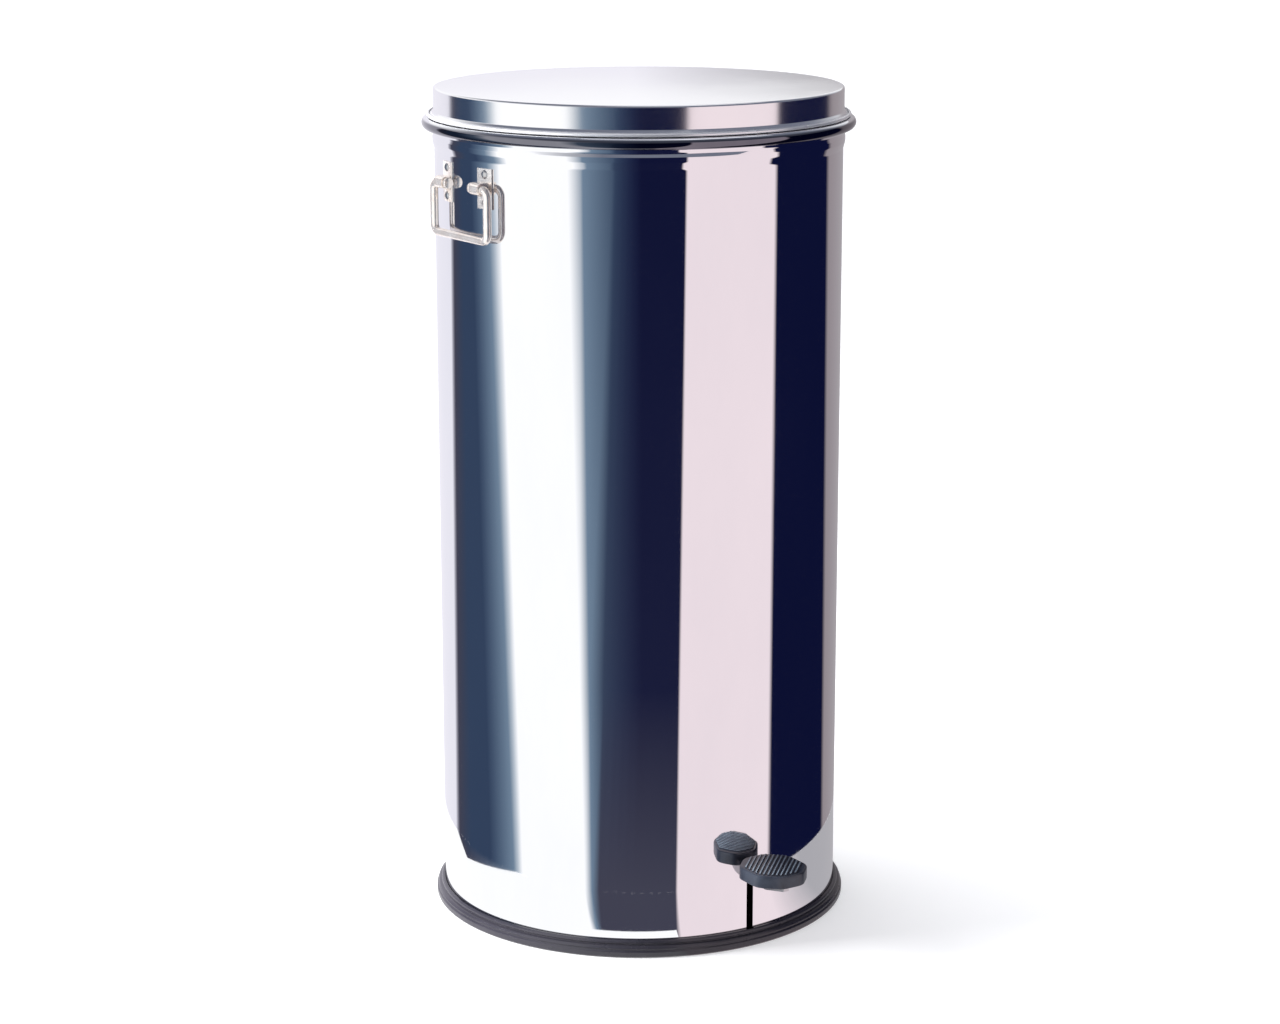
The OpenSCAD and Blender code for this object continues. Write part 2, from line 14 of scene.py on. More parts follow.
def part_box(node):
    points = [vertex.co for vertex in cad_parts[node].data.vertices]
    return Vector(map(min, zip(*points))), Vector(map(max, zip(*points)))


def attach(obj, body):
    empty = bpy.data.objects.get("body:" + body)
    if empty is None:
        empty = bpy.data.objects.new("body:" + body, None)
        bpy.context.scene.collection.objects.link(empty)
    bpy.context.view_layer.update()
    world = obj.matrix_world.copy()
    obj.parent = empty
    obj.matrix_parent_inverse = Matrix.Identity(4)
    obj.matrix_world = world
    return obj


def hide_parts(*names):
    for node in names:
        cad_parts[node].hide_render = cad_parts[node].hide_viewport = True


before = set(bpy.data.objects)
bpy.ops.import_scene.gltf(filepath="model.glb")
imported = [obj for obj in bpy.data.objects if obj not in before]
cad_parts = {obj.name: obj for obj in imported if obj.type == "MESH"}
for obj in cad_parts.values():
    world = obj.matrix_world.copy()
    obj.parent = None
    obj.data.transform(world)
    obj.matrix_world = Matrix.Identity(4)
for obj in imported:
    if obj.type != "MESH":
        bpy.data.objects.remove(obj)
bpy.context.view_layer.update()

MM = 0.001

# ---- Sizes, in millimetres ----

TURNS = 256                 # columns of a turned piece
SHEET = 0.8                 # sheet steel of body and lid
BUCKET_SHEET = 0.9
SUPPORT = 0.5               # distance of a support row from a bend
WALL_R = 200.0
TINY = 0.01                 # slack when two places are compared
SHARP = 32                  # edges above this angle, in degrees, stay sharp

RIM_OUT, RIM_TOP = (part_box("body_shell")[1][i] / MM for i in (0, 2))
RIM_ROLL = 5.5
BAND_R, NECK_R = WALL_R + 1.4, WALL_R - 0.1     # middle lines of the band and neck under the rim
SLOT_LOW, SLOT_HIGH, SLOT_HALF = 11.2, 84.0, 3.8
LID_OUT, LID_TOP = (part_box("lid")[1][i] / MM for i in (0, 2))
LID_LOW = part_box("lid")[0][2] / MM
LID_ROLL = 1.8
BASE_OUT, BASE_TOP = (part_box("base_cap")[1][i] / MM for i in (0, 2))
BUCKET_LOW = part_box("inner_bucket")[0][2] / MM
BUCKET_OUT, BUCKET_TOP = (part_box("inner_bucket")[1][i] / MM for i in (0, 2))
BUCKET_ROLL = 4.0

HANDLE_AZIMUTH = 88.5
HANDLE_PIVOT_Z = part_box("handle_brackets_left")[0][2] / MM + 19
HANDLE_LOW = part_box("handle_left")[0][2] / MM

PAD_CUT = 18.0              # the pad's cut corners
PAD_SOFT = 14.0             # the rounding of its outline
PAD_MARGIN = 3.6            # the smooth margin round its ribs


# ---- Outlines ----

def arc(x, z, r, start, end, steps):
    """Points along an arc round (x, z), between two angles in degrees."""
    angles = (radians(start + (end - start) * i / steps) for i in range(steps + 1))
    return [(x + r * cos(a), z + r * sin(a)) for a in angles]


def bend(before, corner, after, r, steps):
    """The arc that rounds a corner between two straight stretches."""
    corner = Vector(corner)
    back, on = (Vector(before) - corner).normalized(), (Vector(after) - corner).normalized()
    half = back.angle(on) / 2
    centre = corner + (back + on).normalized() * (r / sin(half))
    start, end = corner + back * (r / tan(half)), corner + on * (r / tan(half))
    turn = (start - centre).angle_signed(end - centre)
    arm = start - centre
    points = []
    for i in range(steps + 1):
        a = -turn * i / steps
        points.append((centre.x + arm.x * cos(a) - arm.y * sin(a),
                       centre.y + arm.x * sin(a) + arm.y * cos(a)))
    return points


def rounded(corners, closed=False, steps=5):
    """A line through corners (x, z, r), each rounded with its radius r."""
    line = []
    last = len(corners) - 1
    for i, (x, z, r) in enumerate(corners):
        if r == 0 or (not closed and i in (0, last)):
            line.append((x, z))
        else:
            after = corners[(i + 1) % len(corners)]
            line += bend(corners[i - 1][:2], (x, z), after[:2], r, steps)
    return line


def supported(line, closed=False):
    """The same line with a support point close to each end of its long stretches."""
    out = []
    pairs = list(zip(line, line[1:] + line[:1]))
    for a, b in pairs if closed else pairs[:-1]:
        out.append(a)
        length = sqrt((b[0] - a[0]) ** 2 + (b[1] - a[1]) ** 2)
        if length > 4 * SUPPORT:
            for t in (SUPPORT / length, 1 - SUPPORT / length):
                out.append((a[0] + (b[0] - a[0]) * t, a[1] + (b[1] - a[1]) * t))
    return out if closed else out + [line[-1]]


def sheet_outline(middle, thick):
    """The closed outline of a sheet that follows an open middle line."""
    sides = [[], []]
    for i, p in enumerate(middle):
        here = Vector(p)
        back = (here - Vector(middle[i - 1])).normalized() if i else None
        on = (Vector(middle[i + 1]) - here).normalized() if i < len(middle) - 1 else None
        way = ((back or on) + (on or back)).normalized()
        normal = Vector((-way.y, way.x))
        reach = thick / 2 / max(0.5, way.dot(back or on))
        for side, sign in zip(sides, (1, -1)):
            side.append(tuple(here + normal * reach * sign))
    return sides[0] + sides[1][::-1]


# ---- Meshes ----

def mesh_piece(name, bm, sharp=SHARP):
    """Turns a bmesh in millimetres into a smooth-shaded object with sharp corners."""
    bmesh.ops.recalc_face_normals(bm, faces=bm.faces)
    bmesh.ops.scale(bm, vec=(MM, MM, MM), verts=bm.verts)
    mesh = bpy.data.meshes.new(name)
    bm.to_mesh(mesh)
    bm.free()
    for face in mesh.polygons:
        face.use_smooth = True
    mesh.set_sharp_from_angle(angle=radians(sharp))
    piece = bpy.data.objects.new(name, mesh)
    bpy.context.scene.collection.objects.link(piece)
    return piece


def turned(outline, extra=()):
    """A closed outline of (radius, height) turned round Z. Angles are degrees from the
    pedal, and extra ones get columns of their own. Returns the bmesh and its faces by
    (column angle, row)."""
    bm = bmesh.new()
    angles = sorted({360 * i / TURNS - 180 for i in range(TURNS)} | set(extra))
    rings = []
    for r, z in outline:
        if r < TINY:
            rings.append([bm.verts.new((0, 0, z))] * len(angles))
        else:
            rings.append([bm.verts.new((r * sin(radians(a)), -r * cos(radians(a)), z))
                          for a in angles])
    faces = {}
    for row, ring in enumerate(rings):
        other = rings[(row + 1) % len(rings)]
        for i, a in enumerate(angles):
            j = (i + 1) % len(angles)
            corners = list(dict.fromkeys((ring[i], ring[j], other[j], other[i])))
            if len(corners) > 2:
                faces[a, row] = bm.faces.new(corners)
    return bm, faces


def swept(stations, sides):
    """A round bar along stations (x, z, radius) in the XZ plane, closed at both ends."""
    bm = bmesh.new()
    rings = []
    for i, (x, z, r) in enumerate(stations):
        before, after = stations[max(i - 1, 0)], stations[min(i + 1, len(stations) - 1)]
        way = Vector((after[0] - before[0], after[1] - before[1])).normalized()
        rings.append([bm.verts.new((x - way.y * r * cos(a), r * sin(a), z + way.x * r * cos(a)))
                      for a in (2 * pi * k / sides for k in range(sides))])
    for ring, other in zip(rings, rings[1:]):
        for k in range(sides):
            n = (k + 1) % sides
            bm.faces.new((ring[k], ring[n], other[n], other[k]))
    bm.faces.new(rings[0])
    bm.faces.new(rings[-1])
    return bm


def cut(piece, cutters):
    """Subtracts other objects from a piece, and removes them."""
    for cutter in cutters:
        modifier = piece.modifiers.new("cut", "BOOLEAN")
        modifier.object = cutter
        modifier.solver = "EXACT"
    graph = bpy.context.evaluated_depsgraph_get()
    mesh = bpy.data.meshes.new_from_object(piece.evaluated_get(graph))
    piece.modifiers.clear()
    piece.data = mesh
    for cutter in cutters:
        bpy.data.objects.remove(cutter)
    for face in mesh.polygons:
        face.use_smooth = True
    mesh.set_sharp_from_angle(angle=radians(SHARP))


def drum(name, x, y, z_low, z_high, r, sides=48):
    """A plain upright cylinder, for cutting."""
    bm = bmesh.new()
    at = Matrix.Translation((x, y, (z_low + z_high) / 2))
    bmesh.ops.create_cone(bm, cap_ends=True, segments=sides, radius1=r, radius2=r,
                          depth=z_high - z_low, matrix=at)
    return mesh_piece(name, bm)


def dress(piece, body, slot, *nodes):
    """Puts a finished piece on its body, in place of its CAD nodes."""
    piece.data.materials.clear()
    piece.data.materials.append(MATERIALS[slot])
    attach(piece, body)
    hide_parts(*nodes)
    return piece


# ---- Materials ----

def srgb(*levels):
    """A colour given as display levels from 0 to 255."""
    def linear(c):
        c /= 255
        return c / 12.92 if c <= 0.04045 else ((c + 0.055) / 1.055) ** 2.4
    return (*(linear(c) for c in levels), 1)


class Paint:
    """A Principled material with a few shorthands for its texture nodes."""

    def __init__(self, name, **sockets):
        self.material = bpy.data.materials.new(name)
        self.material.use_nodes = True
        self.tree = self.material.node_tree
        self.shader = self.tree.nodes["Principled BSDF"]
        for socket, value in sockets.items():
            self.shader.inputs[socket.replace("_", " ")].default_value = value
        self.place = self.tree.nodes.new("ShaderNodeTexCoord").outputs["Object"]

    def link(self, source, target):
        self.tree.links.new(source, target)

    def stretched(self, x, y, z):
        """Object coordinates in metres, scaled along each axis."""
        node = self.tree.nodes.new("ShaderNodeMapping")
        node.inputs["Scale"].default_value = (x, y, z)
        self.link(self.place, node.inputs["Vector"])
        return node.outputs["Vector"]

    def noise(self, scale, detail=3.0, rough=0.5, place=None):
        node = self.tree.nodes.new("ShaderNodeTexNoise")
        node.inputs["Scale"].default_value = scale
        node.inputs["Detail"].default_value = detail
        node.inputs["Roughness"].default_value = rough
        self.link(place or self.place, node.inputs["Vector"])
        return node.outputs["Fac"]

    def cells(self, scale, output="Color"):
        node = self.tree.nodes.new("ShaderNodeTexVoronoi")
        node.inputs["Scale"].default_value = scale
        self.link(self.place, node.inputs["Vector"])
        return node.outputs[output]

    def span(self, factor, low, high, start=0.3, end=0.7):
        """Turns a factor into a number between low and high."""
        node = self.tree.nodes.new("ShaderNodeMapRange")
        for socket, value in (("From Min", start), ("From Max", end),
                              ("To Min", low), ("To Max", high)):
            node.inputs[socket].default_value = value
        self.link(factor, node.inputs["Value"])
        return node.outputs["Result"]

    def shades(self, factor, *stops):
        """Turns a factor into a colour, with stops (position, colour)."""
        node = self.tree.nodes.new("ShaderNodeValToRGB")
        ramp = node.color_ramp
        while len(ramp.elements) < len(stops):
            ramp.elements.new(1)
        for element, (position, colour) in zip(ramp.elements, stops):
            element.position = position
            element.color = colour
        self.link(factor, node.inputs["Fac"])
        return node.outputs["Color"]

    def height(self):
        """The height above the floor, in metres."""
        node = self.tree.nodes.new("ShaderNodeSeparateXYZ")
        self.link(self.place, node.inputs["Vector"])
        return node.outputs["Z"]

    def sum(self, first, second):
        """Two numbers added up."""
        node = self.tree.nodes.new("ShaderNodeMath")
        self.link(first, node.inputs[0])
        self.link(second, node.inputs[1])
        return node.outputs["Value"]

    def mixed(self, factor, first, second):
        """A colour between two others."""
        node = self.tree.nodes.new("ShaderNodeMix")
        node.data_type = "RGBA"
        self.link(factor, node.inputs["Factor"])
        self.link(first, node.inputs[6])
        self.link(second, node.inputs[7])
        return node.outputs[2]

    def colour(self, source):
        self.link(source, self.shader.inputs["Base Color"])

    def roughness(self, source):
        self.link(source, self.shader.inputs["Roughness"])

    def relief(self, *layers):
        """Bump layers (height source, depth in metres), one on another."""
        normal = None
        for source, depth in layers:
            node = self.tree.nodes.new("ShaderNodeBump")
            node.inputs["Strength"].default_value = 1
            node.inputs["Distance"].default_value = depth
            self.link(source, node.inputs["Height"])
            if normal:
                self.link(normal, node.inputs["Normal"])
            normal = node.outputs["Normal"]
        self.link(normal, self.shader.inputs["Normal"])
        return self.material


def mirror_steel():
    """Bright polished sheet with faint waves and fine smears, and painted shade that darkens the
    rolled rim.
    """
    paint = Paint("mirror_steel", Metallic=1.0)
    smear = paint.noise(9, 6, 0.65, paint.stretched(1, 1, 0.35))
    steel = paint.shades(smear, (0.3, (0.83, 0.84, 0.87, 1)), (0.7, (0.87, 0.875, 0.9, 1)))
    # painted shade: a darker steel colour on the rolled rim, standing in for the shade under the
    # lid's edge
    shaded = paint.shades(smear, (0.3, (0.14, 0.14, 0.17, 1)), (0.7, (0.2, 0.2, 0.23, 1)))
    rise = paint.span(paint.height(), 0, 1, (RIM_TOP - 13) * MM, RIM_TOP * MM)
    off, on = (0, 0, 0, 1), (1, 1, 1, 1)
    # where the painted shade goes: the band of the rolled rim
    rim_shade_mask = paint.shades(rise, (0.13, off), (0.2, on), (0.8, on), (0.92, off))
    paint.colour(paint.mixed(rim_shade_mask, steel, shaded))
    paint.roughness(paint.span(smear, 0.02, 0.06))
    waves = paint.noise(5, 1, 0.4, paint.stretched(1, 1, 0.5))
    return paint.relief((waves, 0.00018), (paint.noise(420, 2), 0.0000008))


def satin_steel():
    """The lid's softer polish, with fine smears, shallow waves and a duller rolled edge."""
    paint = Paint("satin_steel")
    smear, height = paint.noise(7, 5, 0.6), paint.height()
    paint.colour(paint.shades(smear, (0.3, (0.85, 0.855, 0.875, 1)), (0.7, (0.89, 0.89, 0.905, 1))))
    edge = [(LID_LOW + 2 * LID_ROLL + rise) * MM for rise in (-0.6, 0.6)]
    paint.link(paint.span(height, 0.6, 1, *edge), paint.shader.inputs["Metallic"])
    paint.roughness(paint.sum(paint.span(smear, 0.12, 0.19), paint.span(height, 0.12, 0, *edge)))
    return paint.relief((paint.noise(5, 1, 0.4), 0.00015), (paint.noise(700, 3), 0.000003))


def wire_steel():
    """The handles and their brackets: duller, slightly warm steel with fine drawing marks."""
    paint = Paint("wire_steel", Metallic=0.8)
    marks = paint.noise(160, 4, 0.6)
    paint.colour(paint.shades(marks, (0.3, (0.84, 0.75, 0.69, 1)), (0.7, (0.94, 0.89, 0.85, 1))))
    paint.roughness(paint.span(marks, 0.16, 0.24))
    return paint.relief((paint.noise(120, 2), 0.000001))


def bare_steel():
    """Rivets and pins: turned steel with fine marks."""
    paint = Paint("bare_steel", Metallic=1.0)
    marks = paint.noise(180, 5, 0.6)
    paint.colour(paint.shades(marks, (0.3, (0.5, 0.5, 0.51, 1)), (0.7, (0.64, 0.64, 0.65, 1))))
    paint.roughness(paint.span(marks, 0.22, 0.4))
    return paint.relief((marks, 0.00002))


def zinc_plate():
    """Zinc-plated steel: greyish, a little yellow in places, softly mottled."""
    paint = Paint("zinc_plate", Metallic=1.0)
    mottle = paint.noise(38, 5, 0.6)
    paint.colour(paint.shades(mottle, (0.3, (0.42, 0.44, 0.47, 1)), (0.55, (0.55, 0.56, 0.57, 1)),
                              (0.75, (0.58, 0.56, 0.5, 1))))
    paint.roughness(paint.span(mottle, 0.3, 0.48))
    return paint.relief((paint.noise(260, 4), 0.00004))


def galvanised():
    """Hot-dip galvanised sheet: grey spangle of crystals a few millimetres wide."""
    paint = Paint("galvanised", Metallic=1.0)
    spangle = paint.cells(75)
    paint.colour(paint.shades(spangle, (0.1, (0.4, 0.42, 0.44, 1)), (0.5, (0.5, 0.52, 0.54, 1)),
                              (0.9, (0.62, 0.63, 0.65, 1))))
    paint.roughness(paint.span(spangle, 0.32, 0.52, 0, 1))
    return paint.relief((paint.cells(75, "Distance"), 0.00002), (paint.noise(300, 3), 0.00002))


def blackened():
    """Oil-blackened steel of screws, nuts and clips."""
    paint = Paint("blackened", Metallic=1.0)
    patches = paint.noise(160, 4, 0.6)
    paint.colour(paint.shades(patches, (0.3, (0.035, 0.036, 0.04, 1)), (0.7, (0.09, 0.09, 0.1, 1))))
    paint.roughness(paint.span(patches, 0.3, 0.5))
    return paint.relief((patches, 0.00002))


def moulded_plastic():
    """Black moulded plastic: satin, with a fine grain and faint flow marks."""
    paint = Paint("moulded_plastic", IOR=1.5)
    flow = paint.noise(11, 4, 0.6, paint.stretched(1, 1, 3))
    paint.colour(paint.shades(flow, (0.3, srgb(47, 46, 54)), (0.7, srgb(60, 58, 66))))
    paint.roughness(paint.span(flow, 0.22, 0.32))
    return paint.relief((paint.noise(1400, 2), 0.000006))


def rubber():
    """Dull black rubber with a dusty bloom, a fine pitted grain and rib crests painted paler as a
    highlight.
    """
    paint = Paint("rubber", IOR=1.5)
    bloom = paint.noise(60, 5, 0.65)
    black = paint.shades(bloom, (0.3, srgb(38, 42, 52)), (0.7, srgb(56, 62, 74)))
    # painted highlight: the rib crests get a paler bluish grey, standing in for the light that
    # catches them
    rib_highlight = paint.shades(bloom, (0.3, srgb(92, 104, 118)), (0.7, srgb(138, 152, 164)))
    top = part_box("pedal_pad")[1].z / MM
    rib_highlight_mask = paint.span(paint.height(), 0, 1, (top - 0.35) * MM, (top - 0.05) * MM)
    paint.colour(paint.mixed(rib_highlight_mask, black, rib_highlight))
    paint.roughness(paint.span(bloom, 0.3, 0.42))
    return paint.relief((paint.noise(1800, 2), 0.000006))


def nylon():
    """White nylon, slightly warm, with a moulded surface."""
    paint = Paint("nylon", IOR=1.53, Subsurface_Weight=0.15, Subsurface_Scale=0.002)
    cloud = paint.noise(70, 4)
    paint.colour(paint.shades(cloud, (0.3, srgb(222, 219, 209)), (0.7, srgb(236, 234, 227))))
    paint.roughness(paint.span(cloud, 0.38, 0.5))
    return paint.relief((paint.noise(900, 2), 0.00001))


MATERIALS = {
    "polished_steel": mirror_steel(),
    "plain_steel": bare_steel(),
    "zinc_steel": zinc_plate(),
    "galvanised_steel": galvanised(),
    "dark_steel": blackened(),
    "black_plastic": moulded_plastic(),
    "black_rubber": rubber(),
    "white_nylon": nylon(),
}


def dress_cad_nodes():
    """Gives each CAD node the procedural material of its slot."""
    brackets = wire_steel()
    for name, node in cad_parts.items():
        for place in node.material_slots:
            slot = place.material.name.split(".")[0]
            place.material = brackets if name.startswith("handle_brackets") else MATERIALS[slot]


# ---- Pieces ----

def body_shell():
    """The wall with the pedal's slot, the shallow band and neck under the rim, and the roll."""
    wall, foot = WALL_R - SHEET / 2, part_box("body_shell")[0][2] / MM
    roll_x, roll_z = RIM_OUT - RIM_ROLL, RIM_TOP - RIM_ROLL
    line = rounded([(wall, foot, 0), (wall, SLOT_LOW, 0), (wall, SLOT_HIGH, 0), (wall, 765.5, 7),
                    (BAND_R, 772.5, 5), (BAND_R, 776.9, 2), (NECK_R, 781.2, 2),
                    (WALL_R + 1.6, 785.6, 0)], steps=8)
    line += arc(roll_x, roll_z, RIM_ROLL - SHEET / 2, 224, -112, 42)
    outline = sheet_outline(supported(line), SHEET)
    edge = degrees(asin(SLOT_HALF / WALL_R))
    bm, faces = turned(outline, (-edge, edge))
    rows = len(outline)
    gone = []
    for (a, row), face in faces.items():
        heights = outline[row][1], outline[(row + 1) % rows][1]
        in_slot = SLOT_LOW - TINY < min(heights) and max(heights) < SLOT_HIGH + TINY
        if in_slot and -edge - TINY < a < edge - TINY:
            gone.append(face)
    bmesh.ops.delete(bm, geom=gone, context="FACES")
    bmesh.ops.bridge_loops(bm, edges=[e for e in bm.edges if e.is_boundary])
    bmesh.ops.delete(bm, geom=[v for v in bm.verts if not v.link_faces], context="VERTS")
    return dress(mesh_piece("body", bm), "bin", "polished_steel", "body_shell")


def lid():
    """The shallow lid: flat top, tight bend, short wall and an outward-rolled edge."""
    top, roll_z, roll_x = LID_TOP - SHEET / 2, LID_LOW + LID_ROLL, LID_OUT - LID_ROLL
    mid = LID_ROLL - SHEET / 2
    wall = WALL_R + 0.2
    line = rounded([(0, top, 0), (wall, top, 2), (wall, roll_z + 4, 1.5), (roll_x - mid, roll_z, 0)],
                   steps=8)
    line += arc(roll_x, roll_z, mid, 182, 470, 36)
    outline = sheet_outline(supported(line), SHEET)
    outline = [(0 if i in (0, len(outline) - 1) else r, z) for i, (r, z) in enumerate(outline)]
    bm, _ = turned(outline)
    piece = dress(mesh_piece("lid_top", bm), "lid", "polished_steel", "lid")
    piece.material_slots[0].material = satin_steel()
    return piece


def base_cap():
    """The moulded base with soft edges, a notch under the pedal and its screw recesses."""
    wall = WALL_R + 0.3
    corners = [(0, 0, 0), (BASE_OUT - 1.7, 0, 1.2), (BASE_OUT, 1.7, 1.2), (BASE_OUT, 6.4, 1.2),
               (BASE_OUT - 1.5, 7.6, 0.5), (BASE_OUT - 1.5, 8.4, 0.4), (BASE_OUT - 0.9, 9.2, 0.7),
               (BASE_OUT - 2.6, 11.4, 1.5), (BASE_OUT - 5.2, 12.0, 0.4),
               (BASE_OUT - 5.2, 12.8, 0.4), (BASE_OUT - 4.6, 13.6, 0.5),
               (BASE_OUT - 4.9, BASE_TOP - 1.2, 0.6), (BASE_OUT - 6.1, BASE_TOP, 0.6),
               (wall, BASE_TOP, 0.6), (wall, 6, 0.5), (WALL_R - 14, 6, 1), (WALL_R - 14, 3, 1),
               (0, 3, 0)]
    bm, _ = turned(supported(rounded(corners)))
    piece = mesh_piece("base", bm)
    screws = WALL_R - 9         # the circle of the four screws
    cutters = []
    for k in range(4):
        a = radians(45 + 90 * k)
        x, y = screws * sin(a), -screws * cos(a)
        cutters.append(drum("recess", x, y, -1, 2.4, 4.2))
        cutters.append(drum("hole", x, y, 2, 9, 2.1))
    bm = bmesh.new()
    bmesh.ops.create_cube(bm, size=1, matrix=Matrix.Translation((0, -WALL_R - 1.25, 16.2))
                          @ Matrix.Diagonal((7.6, 3.5, 10, 1)))
    cutters.append(mesh_piece("notch", bm))
    cut(piece, cutters)
    return dress(piece, "bin", "black_plastic", "base_cap")


def inner_bucket():
    """The lift-out bucket: flat floor, tight bend, straight wall and a rolled rim."""
    wall = BUCKET_OUT - 5.6
    roll_x, roll_z = BUCKET_OUT - BUCKET_ROLL, BUCKET_TOP - BUCKET_ROLL
    mid = BUCKET_ROLL - BUCKET_SHEET / 2
    low = BUCKET_LOW + BUCKET_SHEET / 2
    line = rounded([(0, low, 0), (wall, low, 4), (wall, roll_z - 3.4, 0)], steps=8)
    line += arc(roll_x, roll_z, mid, 232, -112, 36)
    outline = sheet_outline(supported(line), BUCKET_SHEET)
    outline = [(0 if i in (0, len(outline) - 1) else r, z) for i, (r, z) in enumerate(outline)]
    bm, _ = turned(outline)
    return dress(mesh_piece("bucket", bm), "bin", "galvanised_steel", "inner_bucket")


def handle(side):
    """A drop handle of bent wire, with upset ends inside its two brackets."""
    node = "handle_left" if side < 0 else "handle_right"
    wire, bow, half = 4.0, 8.0, 48.5
    bar = HANDLE_LOW + wire
    inner, knob = 20.0, 5.2
    end = [(inner, knob - 0.9), (inner + 0.2, knob - 0.4), (inner + 0.8, knob),
           (inner + 2.7, knob), (inner + 3.3, knob - 0.4), (inner + 3.5, wire)]
    leg = [(x, HANDLE_PIVOT_Z, r) for x, r in end]
    leg += [(x, z, wire) for x, z in
            arc(half - bow, HANDLE_PIVOT_Z - bow, bow, 90, 0, 12)
            + arc(half - bow, bar + bow, bow, 0, -90, 12)]
    bm = swept(leg + [(-x, z, r) for x, z, r in leg[::-1]], 32)
    out = WALL_R + 0.6 + wire
    bmesh.ops.translate(bm, vec=(0, -out, 0), verts=bm.verts)
    turn = Matrix.Rotation(radians(side * HANDLE_AZIMUTH), 4, "Z")
    bmesh.ops.transform(bm, matrix=turn, verts=bm.verts)
    piece = mesh_piece("handle_wire_left" if side < 0 else "handle_wire_right", bm)
    dress(piece, "left_handle" if side < 0 else "right_handle", "polished_steel", node)
    piece.material_slots[0].material = wire_steel()
    return piece


def pad_outline(inset, low, high):
    """The pad's outline from above, a rectangle with cut and rounded corners, as (x, y)."""
    w = high.x / MM - inset
    out, back = low.y / MM + inset, high.y / MM - inset
    c = PAD_CUT - inset * (2 - sqrt(2))
    soft = max(1.0, PAD_SOFT - inset)
    corners = [(w - c, out), (w, out + c), (w, back - c), (w - c, back),
               (c - w, back), (-w, back - c), (-w, out + c), (c - w, out)]
    return rounded([(x, y, soft) for x, y in corners], closed=True, steps=3)


def in_tread(face, low, high):
    """Whether a face lies within the smooth margin of the pad's top."""
    middle = face.calc_center_median()
    x, y = abs(middle.x), abs(middle.y - (low.y + high.y) / 2 / MM)
    w, h = high.x / MM - PAD_MARGIN, (high.y - low.y) / 2 / MM - PAD_MARGIN
    cut_sum = w + h - (PAD_CUT - PAD_MARGIN * (2 - sqrt(2)))
    return x < w and y < h and x + y < cut_sum


def pedal_pad():
    """The ribbed rubber pad: soft-edged shell with slanting ribs inside a smooth margin."""
    low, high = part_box("pedal_pad")
    skirt, top = low.z / MM, high.z / MM
    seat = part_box("tread_plate")[1].z / MM + 0.05
    rib, pitch, width, count, shell, edge = 1.2, 4.1, 1.7, 13, 3.5, 1.9
    face = top - rib
    rows = [(shell, seat), (shell, skirt), (0.4, skirt), (0, skirt + 0.4), (0, face - edge)]
    rows += [(edge * (1 - cos(radians(a))), face - edge + edge * sin(radians(a)))
             for a in (18, 36, 54, 72, 90)]
    rows.append((PAD_MARGIN, face))
    bm = bmesh.new()
    loops = [[bm.verts.new((x, y, z)) for x, y in pad_outline(inset, low, high)]
             for inset, z in rows]
    for ring, other in zip(loops, loops[1:]):
        for k in range(len(ring)):
            n = (k + 1) % len(ring)
            bm.faces.new((ring[k], ring[n], other[n], other[k]))
    bm.faces.new(loops[0])
    area = [bm.faces.new(loops[-1])]
    middle = Vector((0, (low.y + high.y) / 2 / MM, 0))
    across = Vector((1, -1, 0)).normalized()
    for i in range(count):
        for side in (-1, 1):
            point = middle + across * ((i - (count - 1) / 2) * pitch + side * width / 2)
            geom = area + list({e for f in area for e in f.edges})
            geom += list({v for f in area for v in f.verts})
            bmesh.ops.bisect_plane(bm, geom=geom, plane_co=point, plane_no=across, dist=TINY**2)
            area = [f for f in bm.faces if all(abs(v.co.z - face) < TINY for v in f.verts)
                    and in_tread(f, low, high)]
    ribs = []
    for f in area:
        place = (f.calc_center_median() - middle).dot(across) / pitch + (count - 1) / 2
        if abs(place - round(place)) < width / 2 / pitch and -0.5 < place < count - 0.5:
            ribs.append(f)
    raised = bmesh.ops.extrude_face_region(bm, geom=ribs)["geom"]
    tops = [g for g in raised if isinstance(g, bmesh.types.BMFace)]
    bmesh.ops.delete(bm, geom=[f for f in ribs if f.is_valid], context="FACES_ONLY")
    verts = list({v for f in tops for v in f.verts})
    bmesh.ops.translate(bm, vec=(0, 0, rib), verts=verts)
    crown = list({e for f in tops for e in f.edges})
    bmesh.ops.bevel(bm, geom=crown, offset=0.45, segments=3, profile=0.5, affect="EDGES")
    return dress(mesh_piece("pad", bm, 40), "pedal", "black_rubber", "pedal_pad")


# ---- Studio, in metres ----

CAMERA_AZIMUTH = radians(-32.8)
CAMERA_DISTANCE = 3.007
CAMERA_HEIGHT = 1.1128
CAMERA_PITCH = radians(13.403)
CAMERA_YAW = radians(-0.025)
CAMERA_ROLL = radians(0.03)
CAMERA_LENS = 86.28

RING_R = 0.37
RING_TOP = 0.87
CARD_Z = 0.0005             # cards on the floor lie this far above it
CARD_GAIN = 1.16            # makes up for what the polished steel swallows
CARD_STEP = 4.0             # widest column of a card, in degrees
CARD_TURN = CAMERA_AZIMUTH + radians(1.1)
FOOT_PART, FOOT_FADE = 0.25, 0.75    # at a quarter of the ring's height, how far its foot fades


def blend(a, b, part):
    """Numbers part of the way from one list to another."""
    return [p + (q - p) * part for p, q in zip(a, b)]


def around(azimuth, r, z=0.0):
    """A point at an angle in degrees, counted from -Y towards +X."""
    a = radians(azimuth)
    return r * sin(a), -r * cos(a), z


